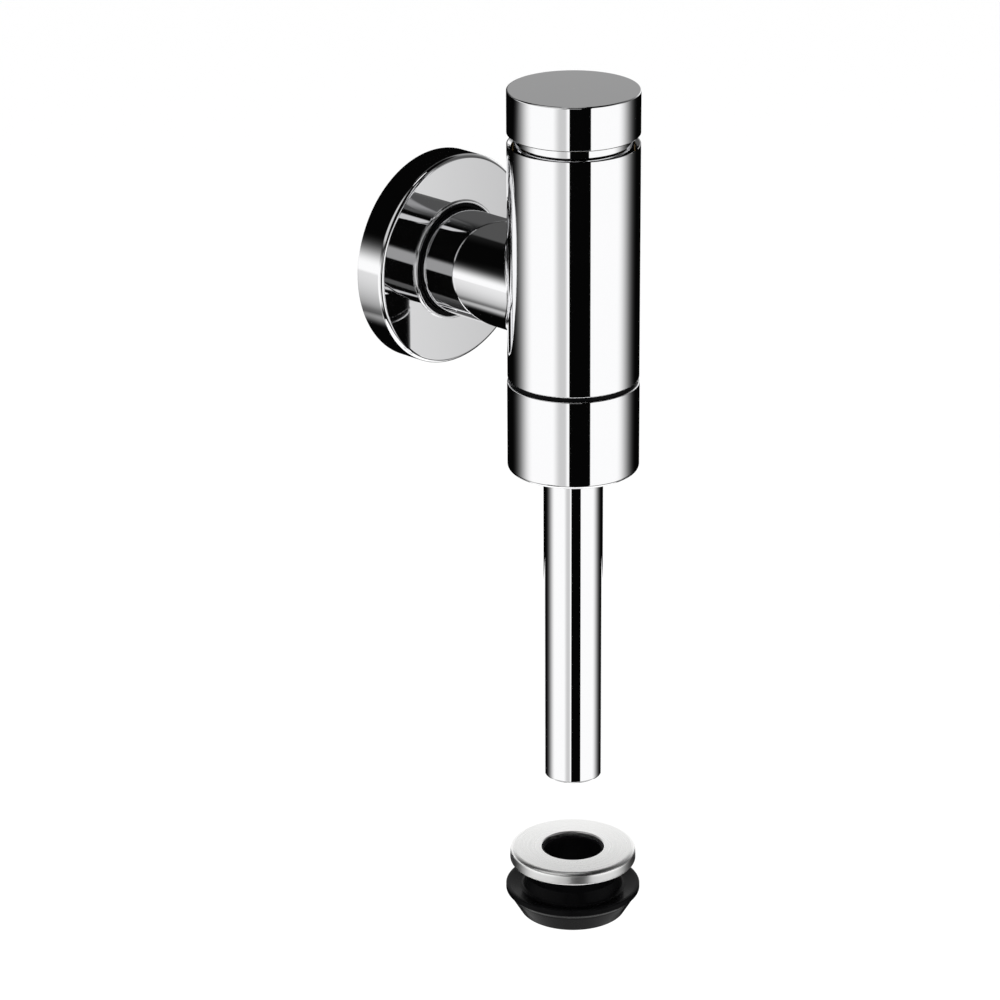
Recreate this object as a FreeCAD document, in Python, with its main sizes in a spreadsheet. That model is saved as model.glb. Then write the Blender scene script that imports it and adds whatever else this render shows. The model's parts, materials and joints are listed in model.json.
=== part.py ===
"""Wall-fed urinal flush valve with push button, flush pipe and rubber connector.

Millimetres, +Z up.  The origin is on the wall plane, on the axis of the inlet thread.
The valve stands out from the wall along -Y and its body axis is vertical.
Every value lives once in the sheet "dims"; sketches and primitives are bound to it by name.
"""
import FreeCAD, Part
import math
import os
import re
import Sketcher
from FreeCAD import Placement, Rotation, Vector

os.makedirs("parts", exist_ok=True)
doc = FreeCAD.newDocument("urinal_flush_valve")
dims = doc.addObject("Spreadsheet::Sheet", "dims")
aliases = []
nodes = []
FULL_TURN = 360

# Helpers


def dimensions(**values):
    """Write values into the sheet, one row each; a text value is a formula of earlier names."""
    for alias, value in values.items():
        cell = "B%d" % (len(aliases) + 1)
        dims.set(cell.replace("B", "A"), alias)
        dims.set(cell, "=" + value if isinstance(value, str) else repr(float(value)))
        dims.setAlias(cell, alias)
        aliases.append(alias)
    doc.recompute()


def bound(formula):
    """The formula with each sheet name made a reference to the sheet."""
    return re.sub(r"[a-z]\w+", lambda word: "dims." + word.group() if word.group() in aliases
                  else word.group(), formula)


def number(formula):
    """The present value of a formula."""
    return float(dims.evalExpression(bound(formula)))


def at_axis(height="0"):
    """Placement on the vertical body axis; its zero lies inlet_height below the inlet axis."""
    return Placement(Vector(0, -number("wall_to_axis"), number(height) - number("inlet_height")),
                     Rotation())


def at_wall():
    """Placement on the wall plane, local Z pointing out of the wall along -Y."""
    return Placement(Vector(0, 0, 0), Rotation(Vector(1, 0, 0), 90))


def new_body(name, place):
    """An empty PartDesign body that becomes the node of this name."""
    body = doc.addObject("PartDesign::Body", name)
    body.Label = name
    body.Placement = place
    nodes.append(body)
    return body


def sketch_on(body, name, role):
    """An empty sketch on one of the body's own origin planes."""
    sketch = body.newObject("Sketcher::SketchObject", name)
    plane = [item for item in body.Origin.OriginFeatures if item.Role == role][0]
    sketch.AttachmentSupport = [(plane, "")]
    sketch.MapMode = "FlatFace"
    return sketch


def outline(sketch, corners):
    """Closed outline of straight lines; each corner is bound to its two formulas."""
    points = [Vector(number(across), number(along), 0) for across, along in corners]
    count = len(points)
    sketch.addGeometry([Part.LineSegment(points[i], points[(i + 1) % count]) for i in range(count)])
    sketch.addConstraint([Sketcher.Constraint("Coincident", i, 2, (i + 1) % count, 1)
                          for i in range(count)])
    for i, (across, along) in enumerate(corners):
        for kind, value, formula in (("DistanceX", points[i].x, across),
                                     ("DistanceY", points[i].y, along)):
            index = sketch.addConstraint(Sketcher.Constraint(kind, -1, 1, i, 1, value))
            label = "%s%d" % (kind, i)
            sketch.renameConstraint(index, label)
            sketch.setExpression("Constraints." + label, bound(formula))


def revolve(body, kind, name, corners):
    """Add (Revolution) or cut (Groove) a form turned about local Z from (radius, height) corners."""
    sketch = sketch_on(body, name + "_outline", "XZ_Plane")
    outline(sketch, corners)
    feature = body.newObject("PartDesign::" + kind, name)
    feature.Profile = sketch
    feature.ReferenceAxis = (sketch, ["V_Axis"])
    feature.Angle = FULL_TURN
    doc.recompute()


def turned(name, place, corners):
    """A body turned about its local Z from (radius, height) corners."""
    body = new_body(name, place)
    revolve(body, "Revolution", name + "_turned", corners)
    return body


def ring(name, place, inner, outer, bottom, top):
    """A plain ring."""
    return turned(name, place, [(inner, bottom), (outer, bottom), (outer, top), (inner, top)])


def primitive(body, kind, name, base, turn=Rotation(), **sizes):
    """A PartDesign primitive in the body's own frame, sizes bound to the sheet."""
    feature = body.newObject("PartDesign::" + kind, name)
    for size, formula in sizes.items():
        feature.setExpression(size, bound(formula))
    feature.Placement = Placement(Vector(*[number(value) for value in base]), turn)
    doc.recompute()
    return feature


def polar(body, feature, count):
    """Repeat the last feature around the local Z axis."""
    pattern = body.newObject("PartDesign::PolarPattern", feature.Name + "_pattern")
    pattern.Originals = [feature]
    axis = [item for item in body.Origin.OriginFeatures if item.Role == "Z_Axis"][0]
    pattern.Axis = (axis, [""])
    pattern.Angle = FULL_TURN
    pattern.Occurrences = count
    body.Tip = pattern
    doc.recompute()
    return pattern


def circles_at(body, *rings):
    """Names of the circular edges of the tip at the given (radius, height) pairs."""
    wanted = ["%.3f %.3f" % (number(radius), number(height)) for radius, height in rings]
    return ["Edge%d" % (index + 1) for index, edge in enumerate(body.Tip.Shape.Edges)
            if isinstance(edge.Curve, Part.Circle)
            and "%.3f %.3f" % (edge.Curve.Radius, edge.Curve.Center.z) in wanted]


def rounded(body, radius, edges, kind="Fillet"):
    """Fillet or chamfer the named edges of the body's tip."""
    if not edges:
        raise ValueError("no edge to round on " + body.Label)
    base = body.Tip
    feature = body.newObject("PartDesign::" + kind, "%s_%s_%d" % (body.Name, kind, len(doc.Objects)))
    feature.Base = (base, edges)
    feature.setExpression("Radius" if kind == "Fillet" else "Size", bound(radius))
    doc.recompute()
    return feature


def coil(name, place, mean, wire, bottom, top, turns):
    """A round-wire compression spring between two heights, one unbroken tube.

    The path is a chain of half turns: a tube along one long helix meshes with gaps.
    """
    radius = number(mean)
    thick = number(wire)
    low = number(bottom) + thick
    length = number(top) - thick - low
    count = number(turns)
    halves = round(2 * count)
    path = []
    for i in range(halves):
        half_turn = Part.makeHelix(length / count, length / halves, radius)
        half_turn.rotate(Vector(0, 0, 0), Vector(0, 0, 1), FULL_TURN * count * i / halves)
        half_turn.translate(Vector(0, 0, length * i / halves))
        path.extend(half_turn.Edges)
    along_wire = Vector(0, 1, length / count / (2 * math.pi * radius))
    section = Part.Wire(Part.makeCircle(thick, Vector(radius, 0, 0), along_wire))
    spring = doc.addObject("Part::Feature", name)
    spring.Label = name
    spring.Shape = Part.Wire(path).makePipeShell([section], True, True)
    spring.Placement = place.multiply(Placement(Vector(0, 0, low), Rotation()))
    nodes.append(spring)
    print(name, "least gap between turns, mm:", round(length / count - 2 * thick, 3))
    return spring


# Where the pieces stand

dimensions(
    wall_to_axis=58,
    inlet_height=4,
    running_gap=0.08,
    loose_gap=0.3,
)

# Valve body with its side arm

dimensions(
    body_radius=19.7,
    body_top=50.5,
    body_bottom=-21.7,
    rim_land=0.35,
    throat_radius=18.45,
    throat_floor=42,
    head_thread_radius=17,
    head_thread_bottom=35,
    cylinder_radius=15.5,
    chamber_floor=-9,
    seat_bore=9.5,
    seat_bore_bottom=-14.5,
    outlet_radius=7,
    spigot_radius=16.5,
    spigot_bottom=-33.5,
    arm_radius=16.1,
    arm_reach=51.5,
    arm_spigot_radius=12,
    arm_spigot_reach=54.5,
    arm_bore=6,
    arm_root_round=2.2,
    relief_centre=17.75,
    relief_radius=0.8,
    relief_height=29.2,
    relief_outlet=-18,
    body_edge=0.3,
)
TO_WALL = Rotation(Vector(1, 0, 0), -90)
TO_SIDE = Rotation(Vector(0, 1, 0), 90)
valve_body = turned("valve_body", at_axis(), [
    ("0", "spigot_bottom"), ("spigot_radius", "spigot_bottom"), ("spigot_radius", "body_bottom"),
    ("body_radius", "body_bottom"), ("body_radius", "body_top"), ("0", "body_top")])
primitive(valve_body, "AdditiveCylinder", "arm", ("0", "0", "inlet_height"), TO_WALL,
          Radius="arm_radius", Height="arm_reach")
root = [index for index, edge in enumerate(valve_body.Tip.Shape.Edges)
        if not isinstance(edge.Curve, (Part.Circle, Part.Line))]
rounded(valve_body, "arm_root_round", ["Edge%d" % (index + 1) for index in root])
revolve(valve_body, "Groove", "chamber", [
    ("0", "spigot_bottom"), ("outlet_radius", "spigot_bottom"), ("outlet_radius", "seat_bore_bottom"),
    ("seat_bore", "seat_bore_bottom"), ("seat_bore", "chamber_floor"),
    ("cylinder_radius", "chamber_floor"), ("cylinder_radius", "head_thread_bottom"),
    ("head_thread_radius", "head_thread_bottom"), ("head_thread_radius", "throat_floor"),
    ("throat_radius", "throat_floor"),
    ("throat_radius", "body_top - body_radius + rim_land + throat_radius"),
    ("body_radius - rim_land", "body_top"), ("0", "body_top")])
primitive(valve_body, "AdditiveCylinder", "arm_spigot", ("0", "arm_reach", "inlet_height"), TO_WALL,
          Radius="arm_spigot_radius", Height="arm_spigot_reach - arm_reach")
primitive(valve_body, "SubtractiveCylinder", "arm_hole", ("0", "0", "inlet_height"), TO_WALL,
          Radius="arm_bore", Height="arm_spigot_reach")
primitive(valve_body, "SubtractiveCylinder", "relief_channel",
          ("relief_centre", "0", "body_bottom"), Rotation(),
          Radius="relief_radius", Height="relief_height + relief_radius - body_bottom")
primitive(valve_body, "SubtractiveCylinder", "relief_inlet",
          ("cylinder_radius - loose_gap", "0", "relief_height"), TO_SIDE,
          Radius="relief_radius", Height="relief_centre - cylinder_radius + loose_gap")
primitive(valve_body, "SubtractiveCylinder", "relief_exit",
          ("outlet_radius - loose_gap", "0", "relief_outlet"), TO_SIDE,
          Radius="relief_radius", Height="relief_centre - outlet_radius + loose_gap")
rounded(valve_body, "body_edge", circles_at(valve_body, ("body_radius", "body_bottom")))

# Push button

dimensions(
    button_gap=3.47,
    button_skirt="body_top + button_gap",
    button_height=13.03,
    button_top="button_skirt + button_height",
    button_chamfer=1.1,
    neck_radius=16.7,
    neck_bottom=46.8,
    button_wall=1.2,
    button_roof=3.5,
    button_ceiling="button_top - button_roof",
    boss_radius=6,
    boss_height=6.5,
    boss_bottom="button_ceiling - boss_height",
    spindle_radius=2.5,
    spindle_top="button_ceiling - button_wall",
    button_edge=0.45,
)
push_button = turned("push_button", at_axis(), [
    ("0", "button_top"), ("body_radius", "button_top"), ("body_radius", "button_skirt"),
    ("body_radius - button_chamfer", "button_skirt - button_chamfer"),
    ("neck_radius", "button_skirt - button_chamfer"), ("neck_radius", "neck_bottom"),
    ("neck_radius - button_wall", "neck_bottom"), ("neck_radius - button_wall", "button_ceiling"),
    ("boss_radius", "button_ceiling"), ("boss_radius", "boss_bottom"),
    ("spindle_radius", "boss_bottom"), ("spindle_radius", "spindle_top"), ("0", "spindle_top")])
rounded(push_button, "button_edge", circles_at(push_button, ("body_radius", "button_top")))

# Spindle with pilot washer and nut

dimensions(
    spindle_bottom=22.8,
    spindle_step=34,
    spindle_tail=1.8,
    pilot_radius=5.5,
    pilot_top=26.95,
    pilot_bottom=24.8,
    pilot_nut_corner=4,
)
button_spindle = turned("button_spindle", at_axis(), [
    ("0", "spindle_bottom"), ("spindle_tail", "spindle_bottom"), ("spindle_tail", "spindle_step"),
    ("spindle_radius", "spindle_step"), ("spindle_radius", "spindle_top"), ("0", "spindle_top")])
pilot_washer = ring("pilot_washer", at_axis(), "spindle_tail", "pilot_radius",
                    "pilot_bottom", "pilot_top")
pilot_nut = new_body("pilot_nut", at_axis())
primitive(pilot_nut, "AdditivePrism", "pilot_hex", ("0", "0", "spindle_bottom"),
          Circumradius="pilot_nut_corner", Height="pilot_bottom - spindle_bottom")
primitive(pilot_nut, "SubtractiveCylinder", "pilot_nut_hole", ("0", "0", "spindle_bottom"),
          Radius="spindle_tail", Height="pilot_bottom - spindle_bottom")

# Valve head that closes the body

dimensions(
    head_bottom=24,
    head_radius="cylinder_radius - running_gap",
    head_top=43.4,
    head_flange_radius=18.2,
    tower_radius=12,
    tower_top=50,
    gland_radius=5.5,
    gland_bottom=38.2,
    gland_top=52,
    gland_corner=7,
    spindle_bore="spindle_radius + running_gap",
    packing_bottom=36.1,
    packing_radius=4.6,
    cavity_top=33.2,
    cavity_radius=3.6,
    seat_lip=4.6,
    pilot_seat=27,
    pilot_recess=27.6,
    pilot_well=6.5,
    coil_well_inner=10,
    coil_well_outer=13,
    coil_well_top=27.5,
    groove_floor=14.1,
    groove_width=1.9,
    lower_groove=25.2,
    relief_groove=28.3,
    upper_groove=31.2,
    spanner_hole=1.4,
    spanner_circle=14.6,
    spanner_depth=4,
    spanner_holes=4,
)
valve_head = turned("valve_head", at_axis(), [
    ("cavity_radius", "pilot_seat"), ("seat_lip", "pilot_seat"), ("seat_lip", "pilot_recess"),
    ("pilot_well", "pilot_recess"), ("pilot_well", "head_bottom"),
    ("coil_well_inner", "head_bottom"), ("coil_well_inner", "coil_well_top"),
    ("coil_well_outer", "coil_well_top"), ("coil_well_outer", "head_bottom"),
    ("head_radius", "head_bottom"), ("head_radius", "lower_groove"),
    ("groove_floor", "lower_groove"), ("groove_floor", "lower_groove + groove_width"),
    ("head_radius", "lower_groove + groove_width"), ("head_radius", "relief_groove"),
    ("groove_floor", "relief_groove"), ("groove_floor", "relief_groove + groove_width"),
    ("head_radius", "relief_groove + groove_width"), ("head_radius", "upper_groove"),
    ("groove_floor", "upper_groove"), ("groove_floor", "upper_groove + groove_width"),
    ("head_radius", "upper_groove + groove_width"), ("head_radius", "head_thread_bottom + loose_gap"),
    ("head_thread_radius", "head_thread_bottom + loose_gap"), ("head_thread_radius", "throat_floor"),
    ("head_flange_radius", "throat_floor"), ("head_flange_radius", "head_top"),
    ("tower_radius", "head_top"), ("tower_radius", "tower_top"), ("gland_radius", "tower_top"),
    ("gland_radius", "gland_bottom"), ("packing_radius", "gland_bottom"),
    ("packing_radius", "packing_bottom"), ("spindle_bore", "packing_bottom"),
    ("spindle_bore", "cavity_top"), ("cavity_radius", "cavity_top")])
primitive(valve_head, "SubtractiveCylinder", "relief_cross_hole",
          ("-groove_floor - loose_gap", "0", "relief_height"), TO_SIDE,
          Radius="relief_radius", Height="2 * groove_floor + 2 * loose_gap")
hole = primitive(valve_head, "SubtractiveCylinder", "spanner_hole_first",
                 ("0", "spanner_circle", "head_top - spanner_depth"), Rotation(),
                 Radius="spanner_hole", Height="spanner_depth")
polar(valve_head, hole, int(number("spanner_holes")))

spindle_gland = turned("spindle_gland", at_axis(), [
    ("spindle_bore", "gland_bottom"), ("gland_radius", "gland_bottom"),
    ("gland_radius", "tower_top"), ("spindle_bore", "tower_top")])
primitive(spindle_gland, "AdditivePrism", "gland_hex", ("0", "0", "tower_top"),
          Circumradius="gland_corner", Height="gland_top - tower_top")
primitive(spindle_gland, "SubtractiveCylinder", "gland_hole", ("0", "0", "gland_bottom"),
          Radius="spindle_bore", Height="gland_top - gland_bottom")

# O-rings


def o_rings(name, mean, section, *heights):
    """Round rings on the body axis, one solid at each height."""
    rings = []
    for height in heights:
        torus = doc.addObject("Part::Torus", "%s_%d" % (name, len(rings) + 1))
        torus.setExpression("Radius1", bound(mean))
        torus.setExpression("Radius2", bound(section))
        torus.Placement = at_axis(height)
        rings.append(torus)
    if len(rings) > 1:
        group = doc.addObject("Part::Compound", name)
        group.Links = rings
    else:
        group = rings[0]
    group.Label = name
    doc.recompute()
    nodes.append(group)
    return group


dimensions(
    packing_section="(packing_radius - spindle_radius - running_gap) / 2",
    head_section="(cylinder_radius - groove_floor) / 2",
)
o_rings("spindle_o_ring", "packing_radius - packing_section", "packing_section",
        "(packing_bottom + gland_bottom) / 2")
o_rings("head_o_rings", "groove_floor + head_section", "head_section",
        "lower_groove + groove_width / 2", "upper_groove + groove_width / 2")

# Springs

dimensions(
    button_coil=9.7,
    button_wire=0.6,
    button_turns=4.5,
    piston_coil=11.5,
    piston_wire=0.6,
    piston_turns=4.5,
)
coil("button_spring", at_axis(), "button_coil", "button_wire", "tower_top", "button_ceiling",
     "button_turns")

# Piston with its seals

dimensions(
    piston_bottom=-5,
    column_radius=9.5,
    flange_bottom=7.5,
    flange_top=10.5,
    piston_radius="cylinder_radius - running_gap",
    piston_top=14,
    piston_post=5,
    piston_bore=2,
    piston_bore_floor=2,
    screw_radius=2.5,
    screw_top=0,
    bleed_height=5,
    bleed_radius=1.5,
    bleed_length=4,
    jet_bore=0.5,
    cup_floor=12,
    cup_lip_top=15,
    cup_lip_inner=14.2,
    cup_lip_root=13.4,
    retainer_radius=13.2,
    retainer_plate=13.2,
    retainer_hub=8,
    seat_washer_radius=9.3,
    seat_washer_bottom=-7.45,
    washer_screw_head=5.5,
    washer_screw_bottom=-9,
    slot_width=1.2,
    slot_depth=0.8,
)
piston = turned("piston", at_axis(), [
    ("screw_radius", "piston_bottom"), ("column_radius", "piston_bottom"),
    ("column_radius", "flange_bottom"), ("piston_radius", "flange_bottom"),
    ("piston_radius", "flange_top"), ("piston_post", "flange_top"), ("piston_post", "piston_top"),
    ("piston_bore", "piston_top"), ("piston_bore", "piston_bore_floor"), ("0", "piston_bore_floor"),
    ("0", "screw_top"), ("screw_radius", "screw_top")])
primitive(piston, "SubtractiveCylinder", "bleed_hole", ("0", "0", "bleed_height"), TO_SIDE,
          Radius="bleed_radius", Height="column_radius + loose_gap")

bleed_jet = new_body("bleed_jet", at_axis())
primitive(bleed_jet, "AdditiveCylinder", "jet", ("column_radius - bleed_length", "0", "bleed_height"),
          TO_SIDE, Radius="bleed_radius", Height="bleed_length - loose_gap")
primitive(bleed_jet, "SubtractiveCylinder", "jet_hole",
          ("column_radius - bleed_length", "0", "bleed_height"), TO_SIDE,
          Radius="jet_bore", Height="bleed_length")

piston_cup = turned("piston_cup", at_axis(), [
    ("piston_post", "flange_top"), ("piston_radius", "flange_top"), ("piston_radius", "cup_lip_top"),
    ("cup_lip_inner", "cup_lip_top"), ("cup_lip_root", "cup_floor"), ("piston_post", "cup_floor")])
cup_retainer = turned("cup_retainer", at_axis(), [
    ("piston_post", "cup_floor"), ("retainer_radius", "cup_floor"),
    ("retainer_radius", "retainer_plate"), ("retainer_hub", "retainer_plate"),
    ("retainer_hub", "piston_top"), ("piston_post", "piston_top")])
seat_washer = ring("seat_washer", at_axis(), "screw_radius", "seat_washer_radius",
                   "seat_washer_bottom", "piston_bottom")
washer_screw = turned("washer_screw", at_axis(), [
    ("0", "washer_screw_bottom"), ("washer_screw_head", "washer_screw_bottom"),
    ("washer_screw_head", "seat_washer_bottom"), ("screw_radius", "seat_washer_bottom"),
    ("screw_radius", "screw_top"), ("0", "screw_top")])
primitive(washer_screw, "SubtractiveBox", "screw_slot",
          ("-washer_screw_head", "-slot_width / 2", "washer_screw_bottom"), Rotation(),
          Length="2 * washer_screw_head", Width="slot_width", Height="slot_depth")
coil("piston_spring", at_axis(), "piston_coil", "piston_wire", "retainer_plate", "coil_well_top",
     "piston_turns")

# Seat ring screwed into the body

dimensions(
    seat_inner=6.6,
    seat_lip_inner=6.9,
    seat_lip_outer=8,
    seat_lip_root=8.4,
    seat_flange_radius=11.5,
    seat_flange_top=-8.3,
    seat_top=-7.5,
)
seat_ring = turned("seat_ring", at_axis(), [
    ("seat_inner", "seat_bore_bottom"), ("seat_bore", "seat_bore_bottom"),
    ("seat_bore", "chamber_floor"), ("seat_flange_radius", "chamber_floor"),
    ("seat_flange_radius", "seat_flange_top"), ("seat_lip_root", "seat_flange_top"),
    ("seat_lip_outer", "seat_top"), ("seat_lip_inner", "seat_top"), ("seat_inner", "seat_flange_top")])

# Outlet sleeve, backflow disc and flush pipe

dimensions(
    sleeve_radius=19.8,
    sleeve_top=-23.1,
    sleeve_bottom=-50.75,
    sleeve_shoulder=-46,
    sleeve_hole=9.35,
    sleeve_round=1.3,
    sleeve_edge=0.25,
    sleeve_ring_radius=19.2,
    air_hole=1.1,
    air_circle=14.3,
    air_holes=6,
    cage_radius=13,
    cage_bore=11,
    cage_collar=16.4,
    cage_collar_depth=1,
    cage_bottom=-42,
    cage_window_top=-38.6,
    cage_window_height=2.4,
    cage_window_width=6,
    cage_windows=4,
    spider_top=-37.05,
    spider_width=1.6,
    spider_hub=2.4,
    disc_bottom=-37,
    disc_top=-35.7,
    disc_notch=2.6,
    disc_notch_circle=11.2,
    disc_notches=4,
    gasket_inner=8,
    gasket_outer=12.5,
    gasket_bottom=-43.8,
    slip_ring_top=-45,
    pipe_radius=9,
    pipe_wall=1,
    pipe_bottom=-152.5,
    pipe_edge=0.35,
)
sleeve_ring = ring("sleeve_ring", at_axis(), "spigot_radius", "sleeve_ring_radius",
                   "sleeve_top", "body_bottom")
outlet_sleeve = turned("outlet_sleeve", at_axis(), [
    ("spigot_radius", "sleeve_shoulder"), ("sleeve_hole", "sleeve_shoulder"),
    ("sleeve_hole", "sleeve_bottom"), ("sleeve_radius", "sleeve_bottom"),
    ("sleeve_radius", "sleeve_top"), ("spigot_radius", "sleeve_top")])
rounded(outlet_sleeve, "sleeve_round", circles_at(outlet_sleeve, ("sleeve_radius", "sleeve_bottom")))
rounded(outlet_sleeve, "sleeve_edge", circles_at(outlet_sleeve, ("sleeve_radius", "sleeve_top")))
hole = primitive(outlet_sleeve, "SubtractiveCylinder", "air_hole_first",
                 ("air_circle", "0", "sleeve_bottom"), Rotation(),
                 Radius="air_hole", Height="sleeve_shoulder - sleeve_bottom")
polar(outlet_sleeve, hole, int(number("air_holes")))

breaker_cage = turned("breaker_cage", at_axis(), [
    ("cage_bore", "cage_bottom"), ("cage_radius", "cage_bottom"),
    ("cage_radius", "spigot_bottom - cage_collar_depth"),
    ("cage_collar", "spigot_bottom - cage_collar_depth"), ("cage_collar", "spigot_bottom"),
    ("cage_bore", "spigot_bottom")])
primitive(breaker_cage, "AdditiveBox", "spider_across",
          ("-cage_bore - loose_gap", "-spider_width / 2", "cage_window_top"), Rotation(),
          Length="2 * cage_bore + 2 * loose_gap", Width="spider_width",
          Height="spider_top - cage_window_top")
primitive(breaker_cage, "AdditiveBox", "spider_along",
          ("-spider_width / 2", "-cage_bore - loose_gap", "cage_window_top"), Rotation(),
          Length="spider_width", Width="2 * cage_bore + 2 * loose_gap",
          Height="spider_top - cage_window_top")
primitive(breaker_cage, "AdditiveCylinder", "spider_centre", ("0", "0", "cage_window_top"), Rotation(),
          Radius="spider_hub", Height="spider_top - cage_window_top")
window = primitive(breaker_cage, "SubtractiveBox", "window_first",
                   ("cage_bore - loose_gap", "-cage_window_width / 2",
                    "cage_window_top - cage_window_height"), Rotation(),
                   Length="cage_radius - cage_bore + 2 * loose_gap", Width="cage_window_width",
                   Height="cage_window_height")
polar(breaker_cage, window, int(number("cage_windows")))

backflow_disc = turned("backflow_disc", at_axis(), [
    ("0", "disc_bottom"), ("cage_bore - running_gap", "disc_bottom"),
    ("cage_bore - running_gap", "disc_top"), ("0", "disc_top")])
notch = primitive(backflow_disc, "SubtractiveCylinder", "notch_first",
                  ("disc_notch_circle", "0", "disc_bottom"), Rotation(),
                  Radius="disc_notch", Height="disc_top - disc_bottom")
polar(backflow_disc, notch, int(number("disc_notches")))

pipe_gasket = ring("pipe_gasket", at_axis(), "gasket_inner", "gasket_outer",
                   "gasket_bottom", "cage_bottom")
pipe_slip_ring = ring("pipe_slip_ring", at_axis(), "pipe_radius + running_gap", "gasket_outer",
                      "sleeve_shoulder", "slip_ring_top")
flush_pipe = turned("flush_pipe", at_axis(), [
    ("pipe_radius - pipe_wall", "pipe_bottom"), ("pipe_radius", "pipe_bottom"),
    ("pipe_radius", "slip_ring_top"), ("gasket_outer", "slip_ring_top"),
    ("gasket_outer", "gasket_bottom"), ("pipe_radius - pipe_wall", "gasket_bottom")])
rounded(flush_pipe, "pipe_edge", circles_at(flush_pipe, ("pipe_radius", "pipe_bottom"),
                                            ("pipe_radius - pipe_wall", "pipe_bottom")))

# Wall side: nipple, union washer, strainer, rosette

dimensions(
    thread_radius=10.4775,
    thread_length=12,
    thread_lead=0.7,
    collar_length="wall_to_axis - arm_reach",
    collar_edge=0.4,
    socket_floor=2,
    union_inner=6.2,
    strainer_depth=1.2,
    strainer_plate=0.8,
    strainer_hole=0.7,
    strainer_rim=5.2,
    rosette_radius=32.5,
    rosette_depth=10,
    rosette_sheet=1,
    rosette_round=1.3,
    rosette_hole=17.5,
    rosette_lip_depth=3.5,
    rosette_lip_round=0.7,
    grip_inner="arm_radius + running_gap",
    grip_bottom=7,
    grip_top=10.5,
    grip_round=0.45,
)
inlet_nipple = turned("inlet_nipple", at_wall(), [
    ("arm_bore", "-thread_length"), ("thread_radius - thread_lead", "-thread_length"),
    ("thread_radius", "thread_lead - thread_length"), ("thread_radius", "0"), ("arm_radius", "0"),
    ("arm_radius", "collar_length"), ("arm_spigot_radius", "collar_length"),
    ("arm_spigot_radius", "socket_floor"), ("arm_bore", "socket_floor")])
rounded(inlet_nipple, "collar_edge", circles_at(inlet_nipple, ("arm_radius", "collar_length")))
union_washer = ring("union_washer", at_wall(), "union_inner", "arm_spigot_radius",
                    "socket_floor", "wall_to_axis - arm_spigot_reach")

inlet_strainer = turned("inlet_strainer", at_wall(), [
    ("0", "-thread_length"), ("arm_bore", "-thread_length"),
    ("arm_bore", "strainer_depth - thread_length"), ("strainer_rim", "strainer_depth - thread_length"),
    ("strainer_rim", "strainer_plate - thread_length"), ("0", "strainer_plate - thread_length")])
dimensions(
    strainer_inner_circle=2.1,
    strainer_outer_circle=4.1,
    strainer_inner_holes=5,
    strainer_outer_holes=10,
)
for circle, count in (("strainer_inner_circle", "strainer_inner_holes"),
                      ("strainer_outer_circle", "strainer_outer_holes")):
    hole = primitive(inlet_strainer, "SubtractiveCylinder", circle + "_hole",
                     (circle, "0", "-thread_length"), Rotation(),
                     Radius="strainer_hole", Height="strainer_plate")
    polar(inlet_strainer, hole, int(number(count)))

wall_rosette = turned("wall_rosette", at_wall(), [
    ("rosette_radius - rosette_sheet", "0"), ("rosette_radius", "0"),
    ("rosette_radius", "rosette_depth"), ("rosette_hole", "rosette_depth"),
    ("rosette_hole", "rosette_depth - rosette_lip_depth"),
    ("rosette_hole + rosette_sheet", "rosette_depth - rosette_lip_depth"),
    ("rosette_hole + rosette_sheet", "rosette_depth - rosette_sheet"),
    ("rosette_radius - rosette_sheet", "rosette_depth - rosette_sheet")])
rounded(wall_rosette, "rosette_round", circles_at(wall_rosette, ("rosette_radius", "rosette_depth")))
rounded(wall_rosette, "rosette_lip_round", circles_at(wall_rosette, ("rosette_hole", "rosette_depth")))
rosette_ring = ring("rosette_ring", at_wall(), "grip_inner", "rosette_hole", "grip_bottom", "grip_top")
rounded(rosette_ring, "grip_round", circles_at(rosette_ring, ("grip_inner", "grip_top"),
                                               ("rosette_hole", "grip_top")))

# Connector that seals the flush pipe in the urinal

dimensions(
    plate_top=-178.2,
    plate_thickness=4.3,
    plate_radius=19.6,
    plate_hole=9.7,
    plate_lip=1.6,
    plate_pocket=12,
    plate_round=1.4,
    plate_under_round=0.8,
    plate_hole_round=0.4,
    connector_bore="pipe_radius + running_gap",
    neck_top_radius=15.5,
    neck_waist_radius=14.2,
    neck_waist=-187.6,
    neck_foot_radius=15.6,
    neck_foot=-191.6,
    brim_radius=20.9,
    brim_inner=19.9,
    brim_top=-190.6,
    brim_thickness=1.7,
    brim_under=18.6,
    spud_radius=14.5,
    spud_shoulder=-194.4,
    spud_bottom=-199.6,
    spud_mouth=10.6,
    spud_mouth_depth=2.2,
    rubber_round=1,
)
connector_plate = turned("connector_plate", at_axis(), [
    ("plate_hole", "plate_top"), ("plate_radius", "plate_top"),
    ("plate_radius", "plate_top - plate_thickness"), ("plate_pocket", "plate_top - plate_thickness"),
    ("plate_pocket", "plate_top - plate_lip"), ("plate_hole", "plate_top - plate_lip")])
rounded(connector_plate, "plate_round", circles_at(connector_plate, ("plate_radius", "plate_top")))
rounded(connector_plate, "plate_under_round",
        circles_at(connector_plate, ("plate_radius", "plate_top - plate_thickness")))
rounded(connector_plate, "plate_hole_round", circles_at(connector_plate, ("plate_hole", "plate_top")))

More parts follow.
